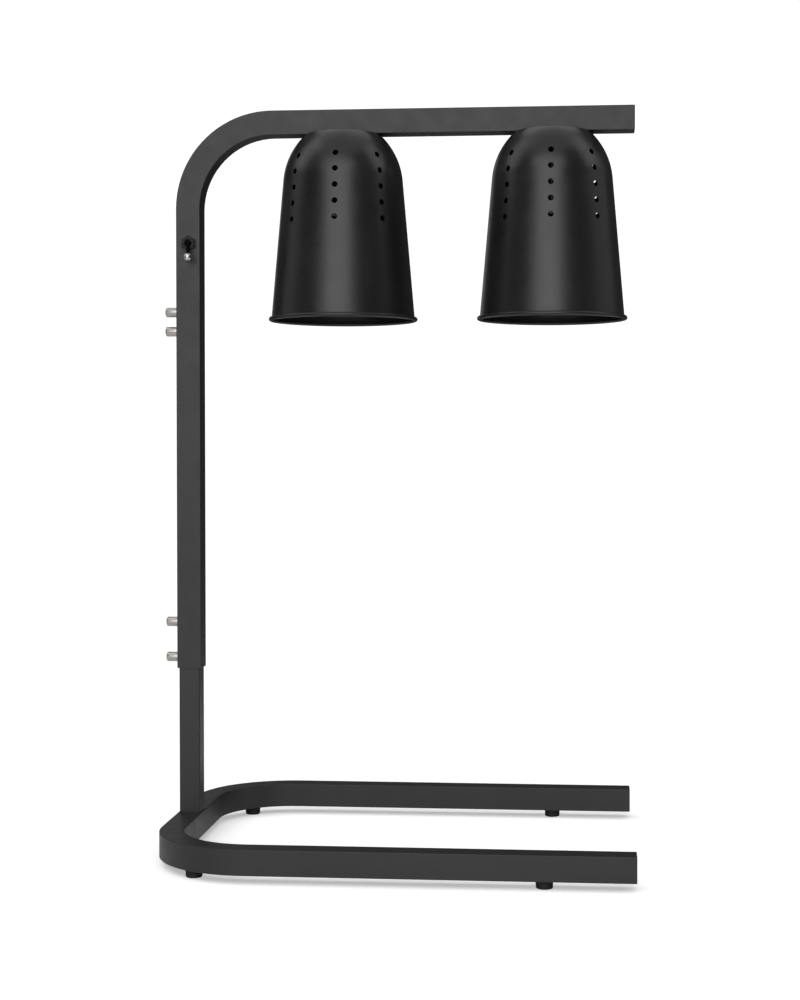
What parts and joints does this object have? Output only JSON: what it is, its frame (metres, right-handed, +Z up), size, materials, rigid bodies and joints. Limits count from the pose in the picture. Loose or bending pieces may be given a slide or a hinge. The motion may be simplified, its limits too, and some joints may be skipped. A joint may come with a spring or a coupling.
{
  "type": "heat lamp warmer",
  "caption": "Free-standing food warmer: U-shaped tube base, telescoping square mast with a bent arm, perforated lamp shades under it and a toggle switch.",
  "frame": {"origin": "on the floor at the middle of the footprint", "axes": "+X runs along the arm away from the mast, +Y away from the switch side, +Z up"},
  "size_m": [0.4936, 0.371, 0.7729],
  "materials": {
    "black_powder_coat": "satin black powder coat",
    "shade_enamel": "semi-gloss black enamel",
    "black_rubber": "matte black rubber",
    "black_plastic": "moulded black plastic",
    "stainless": "polished stainless steel",
    "zinc_steel": "zinc-plated steel",
    "chrome_plate": "bright chrome",
    "nylon": "natural nylon",
    "phenolic": "glossy black phenolic",
    "collar_aluminium": "spun aluminium",
    "contact_brass": "plain brass",
    "cap_nickel": "nickel-plated brass",
    "ruby_glass": "dark ruby-stained glass",
    "wire_red": "red insulation",
    "wire_white": "white insulation"
  },
  "bodies": {
    "base": {"base_frame": "black_powder_coat", "base_end_plugs": "black_plastic", "rubber_feet": "black_rubber", "foot_screws": "zinc_steel", "base_access_cover": "black_plastic", "mast_inner_tube": "black_powder_coat", "mast_foot_block": "zinc_steel", "mast_bolt_washer": "zinc_steel", "mast_bolt": "zinc_steel", "mast_inner_tube_plug": "black_plastic"},
    "lamp_frame": {"upper_frame_tube": "black_powder_coat", "arm_end_plug": "black_plastic", "clamp_bosses": "stainless", "lamp_shade_1": "shade_enamel", "lampholder_1": "phenolic", "lampholder_collar_1": "collar_aluminium", "screw_shell_1": "contact_brass", "centre_contact_1": "contact_brass", "heat_lamp_cap_1": "cap_nickel", "heat_lamp_bulb_1": "ruby_glass", "shade_nipple_1": "zinc_steel", "switched_wire_1": "wire_red", "neutral_wire_1": "wire_white", "lamp_shade_2": "shade_enamel", "lampholder_2": "phenolic", "lampholder_collar_2": "collar_aluminium", "screw_shell_2": "contact_brass", "centre_contact_2": "contact_brass", "heat_lamp_cap_2": "cap_nickel", "heat_lamp_bulb_2": "ruby_glass", "shade_nipple_2": "zinc_steel", "switched_wire_2": "wire_red", "neutral_wire_2": "wire_white", "shade_washers": "zinc_steel", "switch_case": "black_plastic", "switch_bushing": "black_plastic", "switch_washer": "black_plastic", "switch_nut": "black_plastic", "switch_pivot_pin": "zinc_steel", "switch_terminal": "contact_brass", "wire_splice": "black_plastic", "cord_inlet_bush": "black_plastic"},
    "clamp_tip_1": {"clamp_pad_1": "nylon"},
    "clamp_screw_body_1": {"clamp_screw_1": "stainless"},
    "clamp_tip_2": {"clamp_pad_2": "nylon"},
    "clamp_screw_body_2": {"clamp_screw_2": "stainless"},
    "clamp_tip_3": {"clamp_pad_3": "nylon"},
    "clamp_screw_body_3": {"clamp_screw_3": "stainless"},
    "clamp_tip_4": {"clamp_pad_4": "nylon"},
    "clamp_screw_body_4": {"clamp_screw_4": "stainless"},
    "switch_toggle": {"switch_lever": "black_plastic", "switch_lever_ball": "chrome_plate"}
  },
  "joints": [
    {"name": "mast_height", "type": "slide", "parent": "base", "child": "lamp_frame", "axis": [0, 0, 1], "range_m": [-0.15, 0.13]},
    {"name": "clamp_advance_1", "type": "slide", "parent": "lamp_frame", "child": "clamp_tip_1", "axis": [1, 0, 0], "range_m": [-0.006, 0.00015]},
    {"name": "clamp_turn_1", "type": "hinge", "parent": "clamp_tip_1", "child": "clamp_screw_body_1", "pos_m": [-0.2332, 0, 0.198], "axis": [1, 0, 0], "range_deg": [-2160.1, 54.1]},
    {"name": "clamp_advance_2", "type": "slide", "parent": "lamp_frame", "child": "clamp_tip_2", "axis": [1, 0, 0], "range_m": [-0.006, 0.00015]},
    {"name": "clamp_turn_2", "type": "hinge", "parent": "clamp_tip_2", "child": "clamp_screw_body_2", "pos_m": [-0.2332, 0, 0.2354], "axis": [1, 0, 0], "range_deg": [-2160.1, 54.1]},
    {"name": "clamp_advance_3", "type": "slide", "parent": "lamp_frame", "child": "clamp_tip_3", "axis": [1, 0, 0], "range_m": [-0.006, 0.00015]},
    {"name": "clamp_turn_3", "type": "hinge", "parent": "clamp_tip_3", "child": "clamp_screw_body_3", "pos_m": [-0.2332, 0, 0.5432], "axis": [1, 0, 0], "range_deg": [-2160.1, 54.1]},
    {"name": "clamp_advance_4", "type": "slide", "parent": "lamp_frame", "child": "clamp_tip_4", "axis": [1, 0, 0], "range_m": [-0.006, 0.00015]},
    {"name": "clamp_turn_4", "type": "hinge", "parent": "clamp_tip_4", "child": "clamp_screw_body_4", "pos_m": [-0.2332, 0, 0.5635], "axis": [1, 0, 0], "range_deg": [-2160.1, 54.1]},
    {"name": "toggle_throw", "type": "hinge", "parent": "lamp_frame", "child": "switch_toggle", "pos_m": [-0.2195, -0.0169, 0.6348], "axis": [-0.9936, 0, -0.1132], "range_deg": [0, 120]}
  ],
  "couplings": [
    {"joint": "clamp_turn_1", "follows": "clamp_advance_1", "rad_per_m": 6283.2},
    {"joint": "clamp_turn_2", "follows": "clamp_advance_2", "rad_per_m": 6283.2},
    {"joint": "clamp_turn_3", "follows": "clamp_advance_3", "rad_per_m": 6283.2},
    {"joint": "clamp_turn_4", "follows": "clamp_advance_4", "rad_per_m": 6283.2}
  ]
}
